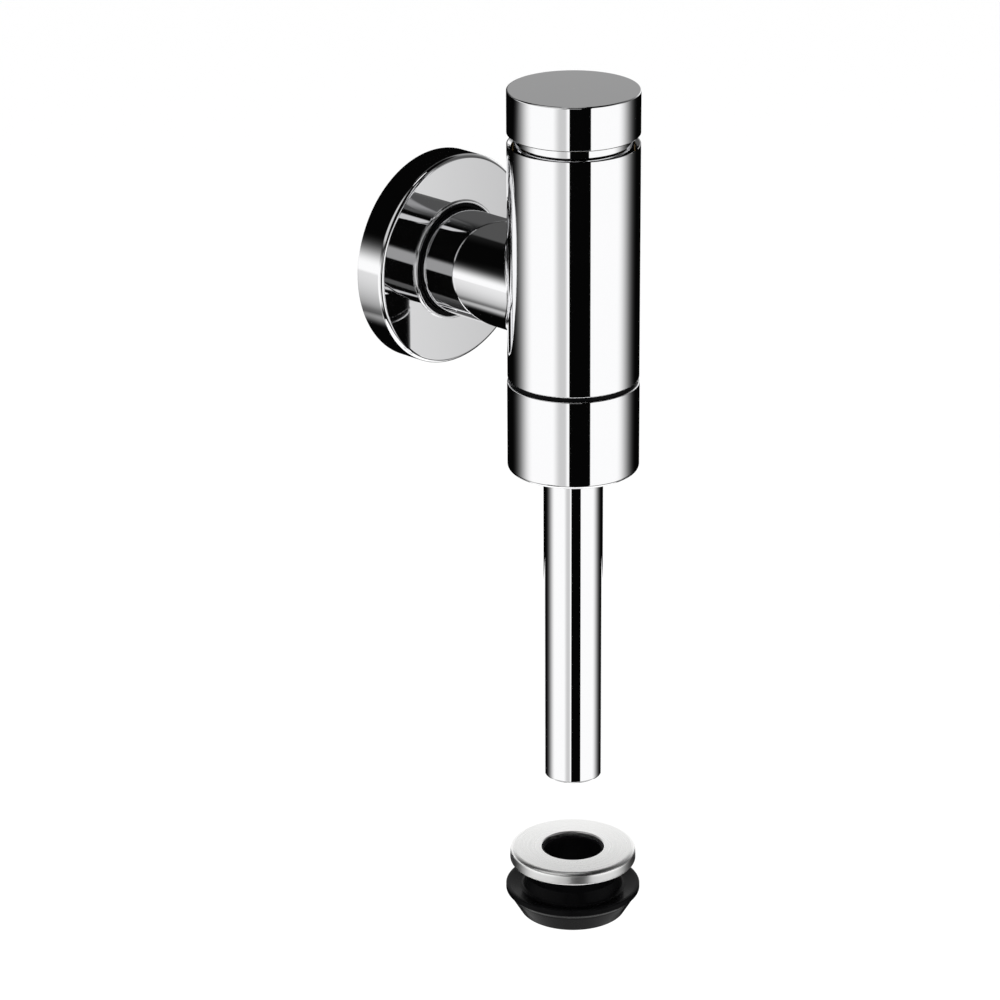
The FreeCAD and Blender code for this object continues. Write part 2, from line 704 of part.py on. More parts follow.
rubber_connector = turned("rubber_connector", at_axis(), [
    ("connector_bore", "plate_top - plate_lip"), ("plate_pocket", "plate_top - plate_lip"),
    ("plate_pocket", "plate_top - plate_thickness"),
    ("neck_top_radius", "plate_top - plate_thickness"), ("neck_waist_radius", "neck_waist"),
    ("neck_foot_radius", "neck_foot"), ("brim_inner", "brim_top"), ("brim_radius", "brim_top"),
    ("brim_radius", "brim_top - brim_thickness"), ("brim_under", "brim_top - 2 * brim_thickness"),
    ("spud_radius", "spud_shoulder"), ("spud_radius", "spud_bottom"), ("spud_mouth", "spud_bottom"),
    ("connector_bore", "spud_bottom + spud_mouth_depth")])
rounded(rubber_connector, "rubber_round",
        circles_at(rubber_connector, ("neck_waist_radius", "neck_waist"),
                   ("neck_foot_radius", "neck_foot"), ("spud_radius", "spud_shoulder"),
                   ("spud_radius", "spud_bottom")))
dimensions(
    brim_round=0.45,
)
rounded(rubber_connector, "brim_round",
        circles_at(rubber_connector, ("brim_inner", "brim_top"), ("brim_radius", "brim_top"),
                   ("brim_radius", "brim_top - brim_thickness")))

# Check and write

doc.recompute()
for item in doc.Objects:
    if "Invalid" in item.State or "Error" in item.State:
        raise RuntimeError("%s is %s" % (item.Label, item.State))
for node in nodes:
    if node.Shape.isNull() or not node.Shape.isValid():
        raise RuntimeError(node.Label + " has no valid shape")
for node in nodes:
    node.Shape.exportStep(os.path.join("parts", node.Label + ".step"))
    box = node.Shape.BoundBox
    print("%-18s %d solid, %8.0f mm3, x %6.1f %6.1f  y %6.1f %6.1f  z %6.1f %6.1f" % (
        node.Label, len(node.Shape.Solids), node.Shape.Volume,
        box.XMin, box.XMax, box.YMin, box.YMax, box.ZMin, box.ZMax))
print(len(nodes), "nodes")
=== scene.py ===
"""Looks of a wall-fed urinal flush valve: polished chrome, satin chrome and black rubber.

Metres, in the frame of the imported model: +Z up, the wall is the plane Y = 0, the valve
stands out along -Y.  Every new piece is a surface worked out from a profile in millimetres,
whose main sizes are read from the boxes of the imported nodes.
"""
import json
import math

import bpy
import numpy as np
from mathutils import Matrix, Vector


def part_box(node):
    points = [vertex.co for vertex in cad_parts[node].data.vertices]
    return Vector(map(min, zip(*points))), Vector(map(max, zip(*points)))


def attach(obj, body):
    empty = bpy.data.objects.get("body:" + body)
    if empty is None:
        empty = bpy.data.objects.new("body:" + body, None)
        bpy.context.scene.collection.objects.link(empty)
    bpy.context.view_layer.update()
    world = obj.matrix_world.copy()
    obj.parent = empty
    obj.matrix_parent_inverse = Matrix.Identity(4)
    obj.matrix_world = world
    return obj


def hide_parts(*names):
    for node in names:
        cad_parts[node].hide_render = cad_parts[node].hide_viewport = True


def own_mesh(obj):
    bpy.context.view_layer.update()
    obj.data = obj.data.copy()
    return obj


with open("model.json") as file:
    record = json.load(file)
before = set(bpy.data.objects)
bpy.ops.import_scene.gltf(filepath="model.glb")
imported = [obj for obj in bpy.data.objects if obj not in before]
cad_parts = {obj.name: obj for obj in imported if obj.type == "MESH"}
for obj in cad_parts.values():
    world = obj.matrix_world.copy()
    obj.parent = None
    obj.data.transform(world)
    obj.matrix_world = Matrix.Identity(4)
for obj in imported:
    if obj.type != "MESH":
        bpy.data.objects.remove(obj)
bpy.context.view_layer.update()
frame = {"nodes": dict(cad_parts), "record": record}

MM = 0.001
TURN = 2 * math.pi

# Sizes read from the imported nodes, in millimetres


def low(node, axis):
    """Lowest coordinate of a node in millimetres."""
    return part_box(node)[0][axis] / MM


def high(node, axis):
    """Highest coordinate of a node in millimetres."""
    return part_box(node)[1][axis] / MM


AXIS_Y = (high("push_button", 1) + low("push_button", 1)) / 2
BUTTON_RADIUS = high("push_button", 0)
BUTTON_TOP = high("push_button", 2)
NECK_BOTTOM = low("push_button", 2)
SLEEVE_TOP = high("outlet_sleeve", 2)
SLEEVE_RING_RADIUS = high("sleeve_ring", 0)
SLEEVE_RING_TOP = high("sleeve_ring", 2)
FLANGE_TOP = high("flush_pipe", 2)
FLANGE_RADIUS = high("flush_pipe", 0)
FLANGE_BOTTOM = high("pipe_slip_ring", 2)
PIPE_BOTTOM = low("flush_pipe", 2)
COLLAR_FRONT = -low("inlet_nipple", 1)
COLLAR_RADIUS = high("inlet_nipple", 0)
THREAD_END = high("inlet_nipple", 1)
WASHER_BACK = -high("union_washer", 1)
WASHER_RADIUS = high("union_washer", 0)
BORE_RADIUS = high("inlet_strainer", 0)
ROSETTE_RADIUS = high("wall_rosette", 0)
ROSETTE_DEPTH = -low("wall_rosette", 1)
GRIP_RADIUS = high("rosette_ring", 0)
GRIP_FRONT = -low("rosette_ring", 1)
GRIP_BACK = -high("rosette_ring", 1)
PLATE_RADIUS = high("connector_plate", 0)
PLATE_TOP = high("connector_plate", 2)
PLATE_BOTTOM = low("connector_plate", 2)
BRIM_RADIUS = high("rubber_connector", 0)
CONNECTOR_TOP = high("rubber_connector", 2)
CONNECTOR_BOTTOM = low("rubber_connector", 2)

# Surfaces

SEGMENTS = 256
ARC_STEP = math.radians(9)
EDGE_RUN = 0.12
SPRING_STEPS = 72
WIRE_SEGMENTS = 20
UPRIGHT = Matrix.Translation((0, AXIS_Y * MM, 0))
OUT_OF_WALL = Matrix.Rotation(math.radians(90), 4, "X")


def rounded(corners):
    """Closed path through corners (radius, height, rounding), each corner made a tangent arc.

    At a corner with unit directions a (in) and b (out) and turning angle t, the arc of radius r
    starts r*tan(t/2) before the corner.  Straight runs get a point close to each end, so that
    smooth shading stays flat between them.
    """
    corners = np.array([list(corner) + [0.0] * (3 - len(corner)) for corner in corners], float)
    count = len(corners)
    path = []
    for i, (x, z, radius) in enumerate(corners):
        here = np.array([x, z])
        before = here - corners[i - 1][:2]
        after = corners[(i + 1) % count][:2] - here
        a = before / np.linalg.norm(before)
        b = after / np.linalg.norm(after)
        turning = math.atan2(a[0] * b[1] - a[1] * b[0], a @ b)
        if abs(turning) < ARC_STEP / 4 or radius <= 0:
            path.append(here)
            continue
        start = here - a * radius * math.tan(abs(turning) / 2)
        centre = start + np.array([-a[1], a[0]]) * math.copysign(radius, turning)
        angles = np.linspace(0, turning, max(2, math.ceil(abs(turning) / ARC_STEP)) + 1)
        spoke = start - centre
        path.extend(np.stack([spoke[0] * np.cos(angles) - spoke[1] * np.sin(angles),
                              spoke[0] * np.sin(angles) + spoke[1] * np.cos(angles)], 1) + centre)
    return with_edge_points(np.array(path))


def with_edge_points(path):
    """The closed path with a point EDGE_RUN from both ends of every longer run."""
    out = []
    for p, q in zip(path, np.roll(path, -1, 0)):
        out.append(p)
        run = np.linalg.norm(q - p)
        if run > 4 * EDGE_RUN:
            out.extend([p + (q - p) * EDGE_RUN / run, q - (q - p) * EDGE_RUN / run])
    return np.array(out)


def grid_mesh(name, points, wrap_rows, wrap_columns, capped=False):
    """Mesh of a (rows, columns, 3) grid of points in metres, wrapped where asked.

    A capped grid is wrapped in its columns only, and one face closes each end.
    """
    rows, columns = points.shape[:2]
    r = np.arange(rows if wrap_rows else rows - 1)[:, None]
    c = np.arange(columns if wrap_columns else columns - 1)[None, :]
    r2, c2 = (r + 1) % rows, (c + 1) % columns
    faces = np.stack([r * columns + c, r * columns + c2, r2 * columns + c2, r2 * columns + c],
                     -1).reshape(-1, 4).tolist()
    if capped:
        last = (rows - 1) * columns
        faces += [list(range(columns))[::-1], list(range(last, last + columns))]
    mesh = bpy.data.meshes.new(name)
    mesh.from_pydata(points.reshape(-1, 3), [], faces)
    mesh.shade_smooth()
    mesh.update()
    return mesh


def placed(mesh, place):
    """An object of the mesh with the place put into its points."""
    mesh.transform(place)
    piece = bpy.data.objects.new(mesh.name, mesh)
    bpy.context.scene.collection.objects.link(piece)
    return piece


def outward(piece):
    """Turn a closed piece's faces outwards if its signed volume is negative."""
    mesh = piece.data
    mesh.calc_loop_triangles()
    corners = np.zeros(len(mesh.loop_triangles) * 3, np.int32)
    mesh.loop_triangles.foreach_get("vertices", corners)
    points = np.zeros(len(mesh.vertices) * 3)
    mesh.vertices.foreach_get("co", points)
    a, b, c = np.moveaxis(points.reshape(-1, 3)[corners.reshape(-1, 3)], 1, 0)
    if np.einsum("ij,ij->i", a, np.cross(b, c)).sum() < 0:
        mesh.flip_normals()
    return piece


def lathe(name, path, place, relief=None, segments=SEGMENTS):
    """Closed ring: p(s, a) = ((r + relief) cos a, (r + relief) sin a, z), then placed.

    relief, where given, is a function of the grids of radius, height and angle in millimetres.
    """
    angles = np.arange(segments)[None, :] * TURN / segments
    radius, height, angles = np.broadcast_arrays(path[:, 0, None], path[:, 1, None], angles)
    if relief:
        radius = radius + relief(radius, height, angles)
    points = np.stack([radius * np.cos(angles), radius * np.sin(angles), height], -1) * MM
    return outward(placed(grid_mesh(name, points, True, True), place))


def coil(name, mean, wire, turns, bottom, top):
    """Round-wire spring between two heights: a helix of radius mean that carries a circle.

    The helix is c(t) = (mean cos t, mean sin t, rise t), with tangent T and spoke
    R = (cos t, sin t, 0).  Its tube is c + wire (cos u R + sin u T x R).
    """
    t = np.linspace(0, TURN * turns, round(SPRING_STEPS * turns) + 1)[:, None]
    u = np.arange(WIRE_SEGMENTS)[None, :] * TURN / WIRE_SEGMENTS
    rise = (top - bottom - 2 * wire) / (TURN * turns)
    tilt = math.atan2(rise, mean)
    across = mean + wire * np.cos(u)
    lift = wire * np.sin(u)
    side = lift * math.sin(tilt)
    points = np.stack([across * np.cos(t) + side * np.sin(t), across * np.sin(t) - side * np.cos(t),
                       bottom + wire + rise * t + lift * math.cos(tilt)], -1) * MM
    return outward(placed(grid_mesh(name, points, False, True, capped=True), UPRIGHT))


# Materials


def linear(colour):
    """Linear RGBA of an sRGB hex colour."""
    parts = [int(colour[i:i + 2], 16) / 255 for i in (0, 2, 4)]
    return [p / 12.92 if p <= 0.04045 else ((p + 0.055) / 1.055) ** 2.4 for p in parts] + [1.0]


def node(tree, kind, settings=None, **links):
    """A node with its settings; inputs by name with _ for space, or _ and a number."""
    made = tree.nodes.new(kind)
    for key, value in (settings or {}).items():
        setattr(made, key, value)
    for key, value in links.items():
        socket = made.inputs[int(key[1:]) if key[1:].isdigit() else key.replace("_", " ")]
        if isinstance(value, bpy.types.NodeSocket):
            tree.links.new(value, socket)
        else:
            socket.default_value = value
    return made


def material(name, **inputs):
    """A node material with its tree and its principled shader."""
    made = bpy.data.materials.new(name)
    made.use_nodes = True
    tree = made.node_tree
    tree.nodes.clear()
    shader = node(tree, "ShaderNodeBsdfPrincipled", **inputs)
    node(tree, "ShaderNodeOutputMaterial", Surface=shader.outputs["BSDF"])
    return made, tree, shader


def axis_distance(tree):
    """Object position and its distance from the vertical body axis."""
    place = node(tree, "ShaderNodeTexCoord").outputs["Object"]
    centred = node(tree, "ShaderNodeMapping", Vector=place, Location=(0, -AXIS_Y * MM, 0),
                   Scale=(1, 1, 0))
    return place, node(tree, "ShaderNodeVectorMath", {"operation": "LENGTH"},
                       Vector=centred.outputs["Vector"]).outputs["Value"]


def polished_chrome():
    """Bright chrome plate on buffed brass: a mirror, its haze and waves left by the buffing wheel."""
    made, tree, shader = material("polished_chrome_plate", Base_Color=linear("FAFAFB"), Metallic=1.0)
    place = node(tree, "ShaderNodeTexCoord").outputs["Object"]
    haze = node(tree, "ShaderNodeTexNoise", Vector=place, Scale=1 / (14 * MM), Detail=4.0)
    rough = node(tree, "ShaderNodeMapRange", Value=haze.outputs["Fac"], From_Min=0.35, From_Max=0.75,
                 To_Min=0.02, To_Max=0.05)
    tree.links.new(rough.outputs["Result"], shader.inputs["Roughness"])
    wave = node(tree, "ShaderNodeTexNoise", Vector=place, Scale=1 / (11 * MM), Detail=1.0)
    bump = node(tree, "ShaderNodeBump", Height=wave.outputs["Fac"], Strength=0.03, Distance=0.1 * MM)
    tree.links.new(bump.outputs["Normal"], shader.inputs["Normal"])
    return made


def satin_chrome():
    """Satin chrome plate on a turned ring: pale and blurred, with fine rings left by the tool.

    The real rings are about 0.05 mm apart; they are drawn 0.35 mm apart so that they show.
    """
    made, tree, shader = material("satin_chrome_plate", Base_Color=linear("FBFBFA"), Metallic=1.0)
    place, distance = axis_distance(tree)
    rings = node(tree, "ShaderNodeTexNoise", {"noise_dimensions": "1D"}, W=distance,
                 Scale=1 / (0.35 * MM), Detail=2.0)
    rough = node(tree, "ShaderNodeMapRange", Value=rings.outputs["Fac"], From_Min=0.3, From_Max=0.7,
                 To_Min=0.26, To_Max=0.33)
    tree.links.new(rough.outputs["Result"], shader.inputs["Roughness"])
    bump = node(tree, "ShaderNodeBump", Height=rings.outputs["Fac"], Strength=0.07,
                Distance=0.02 * MM)
    tree.links.new(bump.outputs["Normal"], shader.inputs["Normal"])
    return made


def black_rubber():
    """Moulded black rubber: deep black, glossy where the mould was polished, with a faint bloom."""
    made, tree, shader = material("moulded_black_rubber", Specular_IOR_Level=0.04)
    place = node(tree, "ShaderNodeTexCoord").outputs["Object"]
    bloom = node(tree, "ShaderNodeTexNoise", Vector=place, Scale=1 / (6 * MM), Detail=5.0)
    tint = node(tree, "ShaderNodeMix", {"data_type": "RGBA"}, _0=bloom.outputs["Fac"],
                _6=linear("040405"), _7=linear("0F0F10"))
    tree.links.new(tint.outputs[2], shader.inputs["Base Color"])
    rough = node(tree, "ShaderNodeMapRange", Value=bloom.outputs["Fac"], From_Min=0.3, From_Max=0.7,
                 To_Min=0.2, To_Max=0.36)
    tree.links.new(rough.outputs["Result"], shader.inputs["Roughness"])
    grain = node(tree, "ShaderNodeTexNoise", Vector=place, Scale=1 / (0.6 * MM), Detail=3.0)
    bump = node(tree, "ShaderNodeBump", Height=grain.outputs["Fac"], Strength=0.1,
                Distance=0.04 * MM)
    tree.links.new(bump.outputs["Normal"], shader.inputs["Normal"])
    return made


def turned_brass():
    """Turned brass without a coat: warm yellow, with rings 0.3 mm apart left by the tool."""
    made, tree, shader = material("turned_brass", Base_Color=linear("C9A25C"), Metallic=1.0)
    place, distance = axis_distance(tree)
    rings = node(tree, "ShaderNodeTexNoise", {"noise_dimensions": "1D"}, W=distance,
                 Scale=1 / (0.3 * MM), Detail=2.0)
    rough = node(tree, "ShaderNodeMapRange", Value=rings.outputs["Fac"], To_Min=0.2, To_Max=0.42)
    tree.links.new(rough.outputs["Result"], shader.inputs["Roughness"])
    return made


def drawn_steel():
    """Drawn stainless wire and punched sheet: grey, with fine drawing lines."""
    made, tree, shader = material("drawn_stainless_steel", Base_Color=linear("BFC1C2"), Metallic=1.0)
    place = node(tree, "ShaderNodeTexCoord").outputs["Object"]
    lines = node(tree, "ShaderNodeTexNoise", Vector=place, Scale=1 / (0.4 * MM), Detail=3.0)
    rough = node(tree, "ShaderNodeMapRange", Value=lines.outputs["Fac"], To_Min=0.2, To_Max=0.4)
    tree.links.new(rough.outputs["Result"], shader.inputs["Roughness"])
    return made


def moulded_acetal():
    """White moulded acetal: waxy off-white plastic with a faint flow pattern."""
    made, tree, shader = material("moulded_acetal", Roughness=0.4, Subsurface_Weight=0.1,
                                  Subsurface_Scale=0.5 * MM)
    place = node(tree, "ShaderNodeTexCoord").outputs["Object"]
    flow = node(tree, "ShaderNodeTexNoise", Vector=place, Scale=1 / (5 * MM), Detail=2.0)
    tint = node(tree, "ShaderNodeMix", {"data_type": "RGBA"}, _0=flow.outputs["Fac"],
                _6=linear("DEDDD5"), _7=linear("E9E8E2"))
    tree.links.new(tint.outputs[2], shader.inputs["Base Color"])
    return made


def pressed_fibre():
    """Red vulcanised fibre, pressed and punched: dull and mottled."""
    made, tree, shader = material("pressed_fibre", Roughness=0.8)
    place = node(tree, "ShaderNodeTexCoord").outputs["Object"]
    mottle = node(tree, "ShaderNodeTexNoise", Vector=place, Scale=1 / (0.8 * MM), Detail=4.0)
    tint = node(tree, "ShaderNodeMix", {"data_type": "RGBA"}, _0=mottle.outputs["Fac"],
                _6=linear("64201A"), _7=linear("8C3A2C"))
    tree.links.new(tint.outputs[2], shader.inputs["Base Color"])
    return made


MATERIALS = {
    "polished_chrome": polished_chrome(),
    "satin_chrome": satin_chrome(),
    "black_rubber": black_rubber(),
    "raw_brass": turned_brass(),
    "stainless_steel": drawn_steel(),
    "white_acetal": moulded_acetal(),
    "fibre_gasket": pressed_fibre(),
}

for part in frame["record"]["subparts"]:
    carried = frame["nodes"][part["node"]]
    carried.data.materials.clear()
    carried.data.materials.append(MATERIALS[part["material_slot"]])


def dress(piece, slot, body, *nodes):
    """Give a new piece its material, its body and the nodes that it stands for."""
    piece.data.materials.append(MATERIALS[slot])
    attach(piece, body)
    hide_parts(*nodes)


# Push button: a skirt, a narrower neck and a boss inside that takes the spindle

SKIRT_HEIGHT = 13.03
CAP_THICKNESS = 3.5
BOSS_HEIGHT = 6.5
SOCKET_BELOW_CEILING = 1.2
NECK_RADIUS = 17.6
NECK_WALL = 2.1
SKIRT_CHAMFER = 0.3
BOSS_RADIUS = 6.0
SPINDLE_RADIUS = 2.5
TIP = 0.01

SKIRT_BOTTOM = BUTTON_TOP - SKIRT_HEIGHT
CEILING = BUTTON_TOP - CAP_THICKNESS
BOSS_BOTTOM = CEILING - BOSS_HEIGHT
SOCKET_TOP = CEILING - SOCKET_BELOW_CEILING
button = lathe("button_shell", rounded([
    (TIP, BUTTON_TOP), (BUTTON_RADIUS, BUTTON_TOP, 0.45), (BUTTON_RADIUS, SKIRT_BOTTOM, 0.12),
    (BUTTON_RADIUS - SKIRT_CHAMFER, SKIRT_BOTTOM - SKIRT_CHAMFER, 0.12),
    (NECK_RADIUS, SKIRT_BOTTOM - SKIRT_CHAMFER, 0.15), (NECK_RADIUS, NECK_BOTTOM, 0.15),
    (NECK_RADIUS - NECK_WALL, NECK_BOTTOM, 0.15), (NECK_RADIUS - NECK_WALL, CEILING, 0.8),
    (BOSS_RADIUS, CEILING, 0.8), (BOSS_RADIUS, BOSS_BOTTOM, 0.2),
    (SPINDLE_RADIUS, BOSS_BOTTOM, 0.1), (SPINDLE_RADIUS, SOCKET_TOP), (TIP, SOCKET_TOP)]), UPRIGHT)
dress(button, "polished_chrome", "button", "push_button")

# Springs, coils of round wire between the heights of their nodes; the joint, the height that stays
# and the travel are listed but not used

SPRING_WIRE = 0.6
SPRING_TURNS = 4.5
BUTTON_COIL_RADIUS = 9.7
PISTON_COIL_RADIUS = 11.5
BUTTON_TRAVEL = 3.0
PISTON_TRAVEL = 5.0
SPRINGS = (
    # node, piece, coil radius, joint, height that stays, travel
    ("button_spring", "button_coil", BUTTON_COIL_RADIUS, "button_press",
     low("button_spring", 2), BUTTON_TRAVEL),
    ("piston_spring", "piston_coil", PISTON_COIL_RADIUS, "piston_lift",
     high("piston_spring", 2), PISTON_TRAVEL),
)
for node_name, piece_name, coil_radius, joint, fixed_height, travel in SPRINGS:
    spring_low = low(node_name, 2)
    spring_high = high(node_name, 2)
    spring = coil(piece_name, coil_radius, SPRING_WIRE, SPRING_TURNS, spring_low, spring_high)
    dress(spring, "stainless_steel", "valve", node_name)
    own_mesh(spring)

# Sleeve ring, a square-cut rubber ring with softened edges

RING_SECTION = 2.7
RING_INNER = SLEEVE_RING_RADIUS - RING_SECTION
sleeve_ring = lathe("sleeve_gasket", rounded([
    (RING_INNER, SLEEVE_TOP), (SLEEVE_RING_RADIUS, SLEEVE_TOP, 0.15),
    (SLEEVE_RING_RADIUS, SLEEVE_RING_TOP, 0.15), (RING_INNER, SLEEVE_RING_TOP)]), UPRIGHT)
dress(sleeve_ring, "black_rubber", "valve", "sleeve_ring")

# Flush pipe with its flange

PIPE_RADIUS = 9.0
PIPE_BORE = 8.0
pipe = lathe("flush_tube", rounded([
    (PIPE_BORE, PIPE_BOTTOM, 0.25), (PIPE_RADIUS, PIPE_BOTTOM, 0.65),
    (PIPE_RADIUS, FLANGE_BOTTOM, 0.3), (FLANGE_RADIUS, FLANGE_BOTTOM, 0.2),
    (FLANGE_RADIUS, FLANGE_TOP, 0.2), (PIPE_BORE, FLANGE_TOP, 0.2)]), UPRIGHT)
dress(pipe, "polished_chrome", "valve", "flush_pipe")

# Inlet nipple with its G 1/2 thread

THREAD_PITCH = 25.4 / 14
THREAD_DEPTH = 1.162
THREAD_RADIUS = 10.4775
THREAD_ROWS = 150
THREAD_START = 0.6
COLLAR_EDGE = 0.4


def thread_relief(radius, height, angle):
    """Depth of a right-hand 55 degree thread: a rounded wave of the phase z / pitch - a / turn.

    The height runs out of the wall, so along the thread the screw sense is mirrored.  The wave
    fades over one pitch at both ends of the thread.
    """
    along = -height
    phase = along / THREAD_PITCH - angle / TURN
    wave = 0.5 - 0.5 * np.cos(TURN * phase)
    shaped = np.clip(wave * 1.3 - 0.15, 0, 1)
    fade = np.clip(np.minimum(along - THREAD_START, THREAD_END - 0.2 - along) / THREAD_PITCH, 0, 1)
    cut = (radius > THREAD_RADIUS - 0.8) & (radius < THREAD_RADIUS + 0.1) & (along > THREAD_START)
    return np.where(cut, -THREAD_DEPTH * shaped * fade, 0)


thread_heights = np.linspace(-THREAD_START, -(THREAD_END - 0.7), THREAD_ROWS)
nipple_path = np.array([
    (BORE_RADIUS, WASHER_BACK), (BORE_RADIUS, -THREAD_END + 0.3), (BORE_RADIUS + 0.3, -THREAD_END),
    (THREAD_RADIUS - 0.7, -THREAD_END)]
    + [(THREAD_RADIUS, height) for height in thread_heights[::-1]]
    + [(THREAD_RADIUS, -0.3), (THREAD_RADIUS, 0), (COLLAR_RADIUS - 0.3, 0), (COLLAR_RADIUS, 0.3),
       (COLLAR_RADIUS, COLLAR_FRONT - COLLAR_EDGE), (COLLAR_RADIUS - 0.12, COLLAR_FRONT - 0.12),
       (COLLAR_RADIUS - COLLAR_EDGE, COLLAR_FRONT), (WASHER_RADIUS, COLLAR_FRONT),
       (WASHER_RADIUS, WASHER_BACK)])
nipple = lathe("inlet_screw_nipple", nipple_path, OUT_OF_WALL, thread_relief)
dress(nipple, "polished_chrome", "valve", "inlet_nipple")

# Wall rosette, with a bead round its hole, and the rubber ring that grips the arm

SHEET = 1.0
LIP_DEPTH = 3.5
BEAD_WIDTH = 0.9
BEAD_HEIGHT = 0.7
rosette = lathe("rosette_shell", rounded([
    (ROSETTE_RADIUS - SHEET, 0, 0.2), (ROSETTE_RADIUS, 0, 0.2), (ROSETTE_RADIUS, ROSETTE_DEPTH, 1.3),
    (GRIP_RADIUS + BEAD_WIDTH, ROSETTE_DEPTH, 0.12),
    (GRIP_RADIUS + BEAD_WIDTH, ROSETTE_DEPTH + BEAD_HEIGHT, 0.35),
    (GRIP_RADIUS, ROSETTE_DEPTH + BEAD_HEIGHT, 0.35), (GRIP_RADIUS, ROSETTE_DEPTH - LIP_DEPTH, 0.1),
    (GRIP_RADIUS + SHEET, ROSETTE_DEPTH - LIP_DEPTH, 0.1),
    (GRIP_RADIUS + SHEET, ROSETTE_DEPTH - SHEET, 0.3),
    (ROSETTE_RADIUS - SHEET, ROSETTE_DEPTH - SHEET, 0.8)]), OUT_OF_WALL, segments=320)
dress(rosette, "polished_chrome", "rosette", "wall_rosette")

GRIP_INNER = 16.18
grip = lathe("rosette_grip", rounded([
    (GRIP_INNER, GRIP_BACK, 0.2), (GRIP_RADIUS, GRIP_BACK, 0.2), (GRIP_RADIUS, GRIP_FRONT, 0.45),
    (GRIP_INNER, GRIP_FRONT, 0.45)]), OUT_OF_WALL)
dress(grip, "black_rubber", "rosette", "rosette_ring")

# Connector: satin plate and moulded rubber

PLATE_HOLE = 9.7
PLATE_POCKET = 12.0
PLATE_LIP = 1.6
plate = lathe("connector_cover", rounded([
    (PLATE_HOLE, PLATE_TOP, 0.4), (PLATE_RADIUS, PLATE_TOP, 1.4),
    (PLATE_RADIUS, PLATE_BOTTOM, 0.8), (PLATE_POCKET, PLATE_BOTTOM),
    (PLATE_POCKET, PLATE_TOP - PLATE_LIP), (PLATE_HOLE, PLATE_TOP - PLATE_LIP)]), UPRIGHT)
dress(plate, "satin_chrome", "connector", "connector_plate")

# The rubber's levels below the plate and its radii, from the shoulder down to the foot

PIPE_FIT = 9.08
SHOULDER_RADIUS = 15.5
WAIST_RADIUS, WAIST_BELOW = 14.2, 5.1
ROOT_RADIUS, ROOT_BELOW = 15.6, 9.1
BRIM_TOP_RADIUS, BRIM_TOP_BELOW = 19.9, 8.1
BRIM_EDGE_BELOW = 9.8
CONE_RADIUS, CONE_BELOW = 19.8, 11.0
CONE_FOLD_RADIUS, CONE_FOLD_BELOW = 19.5, 11.6
FOOT_RADIUS = 16.2
MOUTH_RADIUS, MOUTH_HEIGHT = 10.6, 2.2
rubber = lathe("connector_rubber", rounded([
    (PIPE_FIT, CONNECTOR_TOP, 0.2), (PLATE_POCKET, CONNECTOR_TOP), (PLATE_POCKET, PLATE_BOTTOM),
    (SHOULDER_RADIUS, PLATE_BOTTOM, 0.1), (WAIST_RADIUS, PLATE_BOTTOM - WAIST_BELOW, 1.0),
    (ROOT_RADIUS, PLATE_BOTTOM - ROOT_BELOW, 1.0),
    (BRIM_TOP_RADIUS, PLATE_BOTTOM - BRIM_TOP_BELOW, 0.45),
    (BRIM_RADIUS, PLATE_BOTTOM - BRIM_TOP_BELOW, 0.45),
    (BRIM_RADIUS, PLATE_BOTTOM - BRIM_EDGE_BELOW, 0.45),
    (CONE_RADIUS, PLATE_BOTTOM - CONE_BELOW, 0.3),
    (CONE_FOLD_RADIUS, PLATE_BOTTOM - CONE_FOLD_BELOW, 0.3),
    (FOOT_RADIUS, CONNECTOR_BOTTOM, 1.0), (MOUTH_RADIUS, CONNECTOR_BOTTOM, 0.4),
    (PIPE_FIT, CONNECTOR_BOTTOM + MOUTH_HEIGHT, 0.4)]), UPRIGHT)
dress(rubber, "black_rubber", "connector", "rubber_connector")

# Camera at the photograph's viewpoint

CAMERA_PLACE = Vector((-846.5, -828.9, 394.9)) * MM
CAMERA_AZIMUTH = math.radians(-46.569)
CAMERA_ELEVATION = math.radians(21.916)
CAMERA_ROLL = -0.0060
CAMERA_LENS = 147.049
SENSOR = 36.0

back = Vector((math.sin(CAMERA_AZIMUTH) * math.cos(CAMERA_ELEVATION),
               -math.cos(CAMERA_AZIMUTH) * math.cos(CAMERA_ELEVATION), math.sin(CAMERA_ELEVATION)))
right = Vector((math.cos(CAMERA_AZIMUTH), math.sin(CAMERA_AZIMUTH), 0))
up = back.cross(right)
rolled_right = right * math.cos(CAMERA_ROLL) + up * math.sin(CAMERA_ROLL)
rolled_up = up * math.cos(CAMERA_ROLL) - right * math.sin(CAMERA_ROLL)
camera_data = bpy.data.cameras.new("camera")
camera_data.lens = CAMERA_LENS
camera_data.sensor_width = SENSOR
camera = bpy.data.objects.new("camera", camera_data)
camera.matrix_world = Matrix.Translation(CAMERA_PLACE) @ Matrix(
    (rolled_right, rolled_up, back)).transposed().to_4x4()
bpy.context.scene.collection.objects.link(camera)
bpy.context.scene.camera = camera

# Studio: white surroundings, a pale floor, one soft lamp and a tent that the chrome mirrors

WORLD_STRENGTH = 1.04
CARD_STRENGTH = 1.06
scene = bpy.context.scene
scene.view_settings.view_transform = "Standard"
world = bpy.data.worlds.new("studio")
scene.world = world
world.use_nodes = True
world_tree = world.node_tree
world_tree.nodes.clear()
paths = node(world_tree, "ShaderNodeLightPath")
seen = node(world_tree, "ShaderNodeMath", {"operation": "MAXIMUM"},
            _0=paths.outputs["Is Camera Ray"], _1=paths.outputs["Is Glossy Ray"])
seen_all = node(world_tree, "ShaderNodeMath", {"operation": "MAXIMUM"}, _0=seen.outputs["Value"],
                _1=paths.outputs["Is Transmission Ray"])
strength = node(world_tree, "ShaderNodeMapRange", Value=seen_all.outputs["Value"],
                To_Min=WORLD_STRENGTH, To_Max=1.0)
sky = node(world_tree, "ShaderNodeBackground", Color=(1, 1, 1, 1),
           Strength=strength.outputs["Result"])
